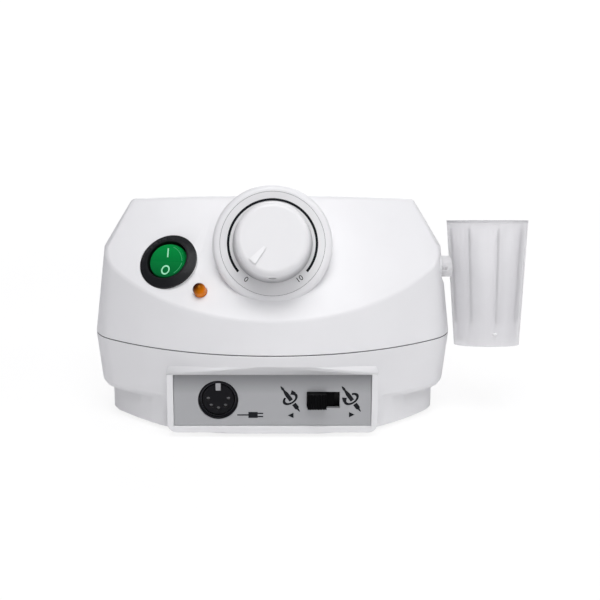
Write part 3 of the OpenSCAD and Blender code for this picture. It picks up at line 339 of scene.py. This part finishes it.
core_iron = metal("core_iron", (0.16, 0.16, 0.17), 0.5, (1, 30, 1), 120)
coil_tape = plastic("coil_tape", (0.42, 0.20, 0.05), 0.4, 0.2)
board_green = plastic("board_green", (0.012, 0.14, 0.045), 0.4, 0.25)
can_blue = plastic("can_blue", (0.015, 0.03, 0.16), 0.3, 0.1)
fuse_glass = plastic("fuse_glass", (0.85, 0.87, 0.88), 0.08, 0.02, 1500, 0.02,
                     Transmission_Weight=0.7, IOR=1.45)


# Ways to make a piece
def piece(name, bm, mat, body, place=None):
    """Puts a drawn shape in its place and lets it ride on a body."""
    bmesh.ops.remove_doubles(bm, verts=bm.verts, dist=1e-4)
    bmesh.ops.recalc_face_normals(bm, faces=bm.faces)
    bmesh.ops.transform(bm, matrix=MILLI @ (place or Matrix()), verts=bm.verts)
    mesh = bpy.data.meshes.new(name)
    bm.to_mesh(mesh)
    bm.free()
    shown(name, mesh, mat, body)


def shown(name, mesh, mat, body, soft=30):
    """Shows a mesh, smooth up to an angle between its faces, and lets it ride on a body."""
    mesh.materials.clear()
    mesh.materials.append(mat)
    mesh.shade_smooth()
    mesh.set_sharp_from_angle(angle=radians(soft))
    obj = bpy.data.objects.new(name, mesh)
    scene.collection.objects.link(obj)
    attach(obj, body)
    return obj


def dressed(node, mat, edge=0, soft=30, planar=True, shape=None, even=True):
    """A merged copy of a solid with broken edges and even shading."""
    bm = bmesh.new()
    bm.from_mesh(nodes[node].data)
    bmesh.ops.remove_doubles(bm, verts=bm.verts, dist=2e-6)
    if planar:
        bmesh.ops.dissolve_limit(bm, angle_limit=radians(0.4), verts=bm.verts, edges=bm.edges)
    if shape:
        shape(bm)
    name = node + "_dressed"
    mesh = bpy.data.meshes.new(name)
    bm.to_mesh(mesh)
    bm.free()
    obj = shown(name, mesh, mat, nodes[node]["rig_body"], soft)
    if edge:
        rim = obj.modifiers.new("broken_edges", "BEVEL")
        rim.width = edge * 0.001
        rim.segments = 2
        rim.limit_method = "ANGLE"
        rim.angle_limit = radians(40)
    if even:
        obj.modifiers.new("even_shading", "WEIGHTED_NORMAL").keep_sharp = True
    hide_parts(node)
    return obj


def coat(mat, *names):
    """A solid whose shape is right keeps it and gets its finish."""
    for name in names:
        mesh = nodes[name].data
        mesh.materials.clear()
        mesh.materials.append(mat)


def raise_faces(bm, faces, t):
    """Gives flat faces a thickness upwards."""
    top = bmesh.ops.extrude_face_region(bm, geom=faces)["geom"]
    bmesh.ops.translate(bm, vec=(0, 0, t),
                        verts=[v for v in top if isinstance(v, bmesh.types.BMVert)])


def slab(bm, w, h, t, x=0, y=0):
    """A flat box on the ground."""
    made = bmesh.ops.create_cube(bm, size=1)["verts"]
    bmesh.ops.scale(bm, vec=(w, h, t), verts=made)
    bmesh.ops.translate(bm, vec=(x, y, t / 2), verts=made)


def swept_ring(bm, r, w, t, start=0, sweep=360, steps=96, z=0):
    """A flat band of width w and thickness t, swept about Z."""
    made = bmesh.ops.create_grid(bm, x_segments=1, y_segments=1, size=0.5)["verts"]
    bmesh.ops.scale(bm, vec=(w, t, 1), verts=made)
    bmesh.ops.rotate(bm, matrix=Matrix.Rotation(pi / 2, 3, "X"), verts=made)
    bmesh.ops.translate(bm, vec=(r, 0, z + t / 2), verts=made)
    bmesh.ops.rotate(bm, matrix=Matrix.Rotation(radians(start), 3, "Z"), verts=made)
    section = made[0].link_faces[0]
    swept = made + section.edges[:]
    full = sweep == 360
    if full:
        bmesh.ops.delete(bm, geom=[section], context="FACES_ONLY")
    else:
        swept.append(section)
    bmesh.ops.spin(bm, geom=swept, cent=(0, 0, 0), axis=(0, 0, 1), angle=radians(sweep),
                   steps=steps, use_merge=full)


def turned(bm, points, steps):
    """A lathe shape from points of radius and height."""
    verts = [bm.verts.new((r, 0, z)) for r, z in points]
    edges = [bm.edges.new(pair) for pair in zip(verts, verts[1:])]
    bmesh.ops.spin(bm, geom=verts + edges, cent=(0, 0, 0), axis=(0, 0, 1), angle=2 * pi,
                   steps=steps, use_merge=True)


def wedge(bm, points, t, z=0):
    """A flat shape of a few corners, raised by t."""
    face = bm.faces.new([bm.verts.new((x, y, z)) for x, y in points])
    raise_faces(bm, [face], t)


# Housing
def soften_frame(bm):
    """Rounds the front edges of the frame round the front panel."""
    near = {v for v in bm.verts
            if v.co.y < CONSOLE_BACK_Y * 0.001 and v.co.z < CONSOLE_TOP_Z * 0.001
            and abs(v.co.x) < CONSOLE_HALF * 0.001}
    bmesh.ops.dissolve_limit(bm, angle_limit=radians(0.05), verts=list(near),
                             edges=[e for e in bm.edges if near.issuperset(e.verts)])
    front = [f for f in bm.faces if f.normal.y < -0.999
             and abs(f.calc_center_median().y - FRAME_FRONT_Y * 0.001) < 2e-5]
    rim = {e for f in front for e in f.edges
           if len(e.link_faces) == 2 and e.calc_face_angle(0) > radians(30)}
    bmesh.ops.bevel(bm, geom=list(rim), offset=FRAME_ROUND * 0.001, offset_type="OFFSET",
                    segments=3, profile=0.5, affect="EDGES", clamp_overlap=True, material=-1)


def wall_way(p):
    """The outward direction of the lower wall at a point of its front or of a front corner."""
    x, y = abs(p.x) * 1000, p.y * 1000
    if x < (FRONT_MIDDLE[1] - y) * tan(radians(90 + FRONT_END)):
        way = Vector((x - FRONT_MIDDLE[0], y - FRONT_MIDDLE[1]))
    else:
        way = Vector((x - CORNER_MIDDLE[0], y - CORNER_MIDDLE[1]))
    way = way.normalized() * cos(radians(WALL_DRAFT))
    return Vector((way.x if p.x > 0 else -way.x, way.y, -sin(radians(WALL_DRAFT))))


def even_wall(mesh):
    """Shades the wall by its own curve, because the console cuts its facets unevenly."""
    wall = {i for f in mesh.polygons
            if f.center.y < -0.02 and f.normal.dot(wall_way(f.center)) > 0.996
            for i in f.vertices}
    ways = []
    for f in mesh.polygons:
        for i in f.vertices:
            way = wall_way(mesh.vertices[i].co)
            if i in wall and f.normal.dot(way) > 0.9:
                ways.append(way)
            else:
                ways.append(f.normal if f.normal.y < -0.999 else (0, 0, 0))
    mesh.normals_split_custom_set(ways)


def outline(inset):
    """The housing's plan, from its rear left corner round the front to its rear right one."""
    half = []
    for middle, r, start, end, steps in ((FRONT_MIDDLE, FRONT_R, -90, FRONT_END, 24),
                                         (CORNER_MIDDLE, CORNER_R, FRONT_END, CORNER_END, 16),
                                         (REAR_MIDDLE, REAR_R, CORNER_END, REAR_END, 14)):
        for i in range(1 if half else 0, steps + 1):
            a = radians(start + (end - start) * i / steps)
            half.append((middle[0] + (r - inset) * cos(a), middle[1] + (r - inset) * sin(a)))
    return [(-x, y) for x, y in reversed(half[1:])] + half


dressed("upper_shell", housing_white, soft=12, planar=False)
lower = dressed("lower_shell", housing_white, soft=24, planar=False, shape=soften_frame, even=False)
even_wall(lower.data)
# Painted shade: a dark grey strip in the seam groove stands for the shade between the two shells.
gap = bmesh.new()
around = gap.faces.new([gap.verts.new((x, y, SEAM_Z)) for x, y in outline(SEAM_DEPTH)])
gap.normal_update()
bmesh.ops.inset_individual(gap, faces=[around], thickness=SEAM_W, use_even_offset=True)
rear = [f for f in gap.faces if f.calc_center_median().y > SEAM_REAR_Y]
bmesh.ops.delete(gap, geom=[around] + rear, context="FACES")
raise_faces(gap, gap.faces[:], SEAM_H)
piece("seam_shade", gap, seam_shade_grey, "housing")
dressed("dial_disc", dial_white, 0.06)
# Painted shade: a dark grey ring in the gap round the dial disc stands for the shade in that gap.
gap = bmesh.new()
swept_ring(gap, DISC_R + DISC_FIT / 2, DISC_FIT - 0.02, 0.1, z=-0.2)
piece("dial_gap_shade", gap, gap_shade_grey, "housing", dial_place)
dressed("holder_bush", bush_white, 0.2)
dressed("front_panel", panel_grey_shaded, 0.15)
dressed("rear_panel", rear_paint, 0.2)
dressed("rubber_feet", rubber, 0.7)

# Dial
dressed("speed_knob", knob_white_shaded, 0.25)
# Painted highlight: a lighter wedge on the pointer rib stands for light on its raised top.
pointer = bmesh.new()
wedge(pointer, [(4.4, -0.5), (11.4, -1.35), (11.4, 1.35), (4.4, 0.5)], 0.03)
piece("pointer_highlight", pointer, pointer_highlight_white, "knob",
      dial_place @ turn(POINTER_TURN, "Z") @ shift(z=POINTER_TOP))
arc = bmesh.new()
swept_ring(arc, 16.9, 0.95, DIAL_PRINT, -39.5, 259.2, 120)
piece("dial_arc", arc, print_black, "housing", dial_place)


def numeral(name, text, angle):
    """A number on the dial disc, at the end of the arc."""
    curve = bpy.data.curves.new(name, "FONT")
    curve.body = text
    curve.size = 2.9
    curve.align_x = "CENTER"
    curve.align_y = "CENTER"
    curve.extrude = DIAL_PRINT / 2
    obj = bpy.data.objects.new(name, curve)
    scene.collection.objects.link(obj)
    bpy.context.view_layer.update()
    depsgraph = bpy.context.evaluated_depsgraph_get()
    mesh = bpy.data.meshes.new_from_object(obj.evaluated_get(depsgraph))
    bpy.data.objects.remove(obj)
    bm = bmesh.new()
    bm.from_mesh(mesh)
    piece(name, bm, print_black, "housing",
          dial_place @ turn(angle, "Z") @ shift(17.1) @ turn(90, "Z") @ shift(z=0.03))


numeral("dial_low", "0", 234)
numeral("dial_high", "10", -53)

# Power switch and lamp
dressed("power_switch_body", charcoal, 0.25)
dressed("power_rocker", rocker_green_shaded, 0.3)
mark = bmesh.new()
slab(mark, 0.55, 3.5, ROCKER_PRINT)
piece("rocker_line", mark, mint_print, "rocker", rocker_upper @ shift(0, 3.5))
mark = bmesh.new()
swept_ring(mark, 1.55, 0.55, ROCKER_PRINT, steps=48)
bmesh.ops.scale(mark, vec=(0.95, 1.12, 1), verts=mark.verts)
piece("rocker_ring", mark, mint_print, "rocker", rocker_lower @ shift(0, -3.6))
# Painted highlight: thin lighter green arcs along the rocker's right edge.
for name, place, start, sweep, steps in (("rocker_gleam_upper", rocker_upper, 4, 66, 24),
                                         ("rocker_gleam_lower", rocker_lower, -52, 48, 20)):
    mark = bmesh.new()
    swept_ring(mark, 6.1, 0.3, 0.05, start, sweep, steps)
    piece(name, mark, gleam_green, "rocker", place)
dressed("lamp_lens", amber_lens_shaded)

# Front console
dressed("motor_socket_body", socket_black, 0.12)
dressed("motor_socket_core", socket_black)
dressed("motor_socket_shield", dark_steel)
tab = bmesh.new()
slab(tab, 1.9, 2.9, 0.06, 0, 5.1)
piece("socket_key", tab, dull_steel, "housing", panel_place(socket_x, z=-0.6))
dressed("slide_actuator", slide_black, 0.12)
coat(charcoal, "slide_switch_case")


def tool_sign(name, x, flip):
    """A slanted tool with a turning arrow round it, which passes in front of it once."""
    bm = bmesh.new()
    wedge(bm, [(-0.16, 6.3), (0.16, 6.3), (0.5, 5.2), (0.5, 4.7), (0.36, 4.3), (0.8, 2.4),
               (0.8, -0.75), (-0.8, -0.75), (-0.8, 2.4), (-0.36, 4.3), (-0.5, 4.7), (-0.5, 5.2)],
          PANEL_PRINT)
    wedge(bm, [(0.85, -2.45), (0.85, -4.5), (0.4, -5.0), (0.14, -6.3), (-0.14, -6.3),
               (-0.4, -5.0), (-0.85, -4.5), (-0.85, -2.45)], PANEL_PRINT)
    ring = bmesh.new()
    swept_ring(ring, 2.7, 1.1, PANEL_PRINT, 118, 290, 64)
    wedge(ring, [(0.9, 2.0), (2.6, 4.2), (3.3, 1.2)], PANEL_PRINT + 0.005)
    bmesh.ops.scale(ring, vec=(-1 if flip else 1, 0.62, 1), verts=ring.verts)
    join = bpy.data.meshes.new(name)
    ring.to_mesh(join)
    ring.free()
    bm.from_mesh(join)
    bpy.data.meshes.remove(join)
    piece(name, bm, print_black, "housing", panel_place(x, 0.4) @ turn(35.8, "Z"))


tool_sign("forward_sign", 6.8, False)
tool_sign("reverse_sign", 30.3, True)
for name, x, y, tip in (("forward_mark", 7.1, -6.3, -1), ("reverse_mark", 30.5, -6.0, 1)):
    sign = bmesh.new()
    wedge(sign, [(1.2 * tip, 0), (-tip, 1.1 * tip), (-tip, -1.1 * tip)], PANEL_PRINT)
    piece(name, sign, print_black, "housing", panel_place(x, y))
sign = bmesh.new()
slab(sign, 4.4, 0.5, PANEL_PRINT, -3.8)
slab(sign, 3.6, 2.4, PANEL_PRINT + 0.002, 0.1)
slab(sign, 2.2, 0.5, PANEL_PRINT, 2.9, 0.65)
slab(sign, 2.2, 0.5, PANEL_PRINT, 2.9, -0.65)
piece("socket_sign", sign, print_black, "housing", panel_place(-7.6, -6.1))


# Handpiece cup
def cup_point(inset, z):
    """A radius and a height at a depth inside the cup's outer wall."""
    return CUP_RIM_R - (CUP_RIM_Z - z) * CUP_SLOPE - inset, z


dressed("handpiece_cup", frosted, 0.3)
# Painted shade: grey fins inside the cup stand for the darker lines the ribs make through the
# frosted wall.
fins = bmesh.new()
for i in range(RIBS):
    before = set(fins.verts)
    wedge(fins, [cup_point(0.7, RIB_TOP_Z), cup_point(0.7, RIB_FOOT_Z), cup_point(1.4, RIB_FOOT_Z),
                 cup_point(1.4, RIB_LEAD_Z), cup_point(0.9, RIB_TOP_Z)], 0.7, -0.35)
    bmesh.ops.transform(fins, matrix=turn(360 / RIBS * i - 90 + RIB_TURN, "Z") @ turn(90, "X"),
                        verts=[v for v in fins.verts if v not in before])
piece("cup_rib_shade", fins, rib_shade_grey, "holder", cup_place)
# Painted shade: a thin grey band over the cup's rim stands for the darker line that the frosted rim
# shows.
rim_band = bmesh.new()
band_foot = CUP_RIM_Z - 0.9
band_inner = CUP_RIM_R - CUP_WALL - 0.02
turned(rim_band, [(CUP_RIM_R - 0.04, band_foot), (CUP_RIM_R + 0.04, CUP_RIM_Z + 0.04),
             (band_inner, CUP_RIM_Z + 0.04), (band_inner - 0.02, CUP_RIM_Z - 0.04),
             (CUP_RIM_R - 0.1, CUP_RIM_Z - 0.04), (CUP_RIM_R - 0.12, band_foot),
             (CUP_RIM_R - 0.04, band_foot)], 96)
piece("cup_rim_shade", rim_band, rim_shade_grey, "holder", cup_place)
gate = bmesh.new()
turned(gate, [(0, 0.35), (0.35, 0.32), (0.6, 0.2), (0.75, 0), (0.7, -0.3), (0, -0.3)], 32)
bmesh.ops.scale(gate, vec=(1.2, 0.7, 1), verts=gate.verts)
piece("cup_gate", gate, gate_white, "holder",
      cup_place @ turn(5, "Z") @ shift(0, -13.15, -26.3) @ turn(90, "X"))

# Rear
dressed("mains_inlet", mains_black, 0.3)
dressed("mains_inlet_pins", tinned, 0.3)
dressed("fuse_holder", mains_black, 0.3)
dressed("fuse_cap", mains_black, 0.25)
dressed("foot_jack", mains_black, 0.2)
dressed("foot_jack_nut", bright_steel, 0.2)
dressed("housing_screws", bright_steel, 0.3)

# Inside
coat(drawn_brass, "knob_insert", "pot_bushing")
coat(dull_steel, "knob_set_screw", "pot_body", "transformer_screws", "board_screws")
coat(bright_steel, "pot_shaft", "pot_nut", "transformer_bracket")
coat(dull_steel, "motor_socket_contacts")
coat(tinned, "pot_terminals", "power_switch_terminals", "lamp_leads", "slide_switch_terminals",
     "foot_jack_terminals")
coat(mains_black, "lamp_clip", "bridge_rectifier", "power_transistor", "fuse_nut")
coat(core_iron, "transformer_core")
coat(coil_tape, "transformer_coil")
coat(board_green, "control_board")
coat(can_blue, "filter_capacitor")
coat(fin_alloy, "heat_sink")
coat(fuse_glass, "fuse_link")

# Floor: it keeps the shadow near the object and is plain white to the camera further off
floor_mesh = bpy.data.meshes.new("floor")
bm = bmesh.new()
bmesh.ops.create_grid(bm, x_segments=1, y_segments=1, size=6)
bm.to_mesh(floor_mesh)
bm.free()
floor = bpy.data.objects.new("floor", floor_mesh)
scene.collection.objects.link(floor)
floor_white = finish("floor_white", (0.86, 0.86, 0.86), 0.9)
floor_mesh.materials.append(floor_white)
tree = floor_white.node_tree
path = tree.nodes.new("ShaderNodeLightPath")
glow = tree.nodes.new("ShaderNodeEmission")
glow.inputs["Color"].default_value = (1, 1, 1, 1)
glow.inputs["Strength"].default_value = 1.06
coords = tree.nodes.new("ShaderNodeTexCoord")
reach = tree.nodes.new("ShaderNodeVectorMath")
reach.operation = "LENGTH"
fade = tree.nodes.new("ShaderNodeMapRange")
fade.inputs["From Min"].default_value = 0.25
fade.inputs["From Max"].default_value = 0.8
fade.inputs["To Min"].default_value = 0.8
fade.inputs["To Max"].default_value = 1
share = tree.nodes.new("ShaderNodeMath")
share.operation = "MULTIPLY"
blend = tree.nodes.new("ShaderNodeMixShader")
tree.links.new(coords.outputs["Object"], reach.inputs[0])
tree.links.new(reach.outputs["Value"], fade.inputs["Value"])
tree.links.new(path.outputs["Is Camera Ray"], share.inputs[0])
tree.links.new(fade.outputs["Result"], share.inputs[1])
tree.links.new(share.outputs["Value"], blend.inputs["Fac"])
tree.links.new(tree.nodes["Principled BSDF"].outputs["BSDF"], blend.inputs[1])
tree.links.new(glow.outputs["Emission"], blend.inputs[2])
tree.links.new(blend.outputs["Shader"], tree.nodes["Material Output"].inputs["Surface"])

# World: a weak light on all sides, white where the camera sees it
world = bpy.data.worlds.new("studio")
scene.world = world
world.use_nodes = True
tree = world.node_tree
ambient = tree.nodes["Background"]
ambient.inputs["Color"].default_value = (0.96, 0.94, 1.05, 1)
ambient.inputs["Strength"].default_value = 0.21
backdrop = tree.nodes.new("ShaderNodeBackground")
backdrop.inputs["Color"].default_value = (1, 1, 1, 1)
backdrop.inputs["Strength"].default_value = 1
path = tree.nodes.new("ShaderNodeLightPath")
seen = tree.nodes.new("ShaderNodeMath")
seen.operation = "MAXIMUM"
blend = tree.nodes.new("ShaderNodeMixShader")
tree.links.new(path.outputs["Is Camera Ray"], seen.inputs[0])
tree.links.new(path.outputs["Is Transmission Ray"], seen.inputs[1])
tree.links.new(seen.outputs["Value"], blend.inputs["Fac"])
tree.links.new(ambient.outputs["Background"], blend.inputs[1])
tree.links.new(backdrop.outputs["Background"], blend.inputs[2])
tree.links.new(blend.outputs["Shader"], tree.nodes["World Output"].inputs["Surface"])


# Lights and camera, in metres and watts
def softbox(name, place, size, power):
    """A round soft light that looks at the middle of the object."""
    lamp = bpy.data.lights.new(name, "AREA")
    lamp.shape = "DISK"
    lamp.size = size
    lamp.energy = power
    obj = bpy.data.objects.new(name, lamp)
    obj.location = place
    look = Vector((0, 0, 0.05)) - Vector(place)
    obj.rotation_euler = look.to_track_quat("-Z", "Y").to_euler()
    scene.collection.objects.link(obj)


softbox("key", (0, -0.5, 1.1), 0.9, 8.8)
softbox("front", (0.05, -1.2, 0.3), 0.8, 2.2)
softbox("right", (0.95, -0.3, 0.8), 0.6, 2.6)
softbox("back", (0.1, 1.2, 0.75), 0.9, 6.0)

lens = bpy.data.cameras.new("camera")
lens.lens = 77.76
lens.sensor_width = 36
lens.shift_x = 0.0458
camera = bpy.data.objects.new("camera", lens)
camera.location = (0, -0.5179, 0.1819)
camera.rotation_euler = (radians(90 - 15.1), 0, 0)
scene.collection.objects.link(camera)
scene.camera = camera
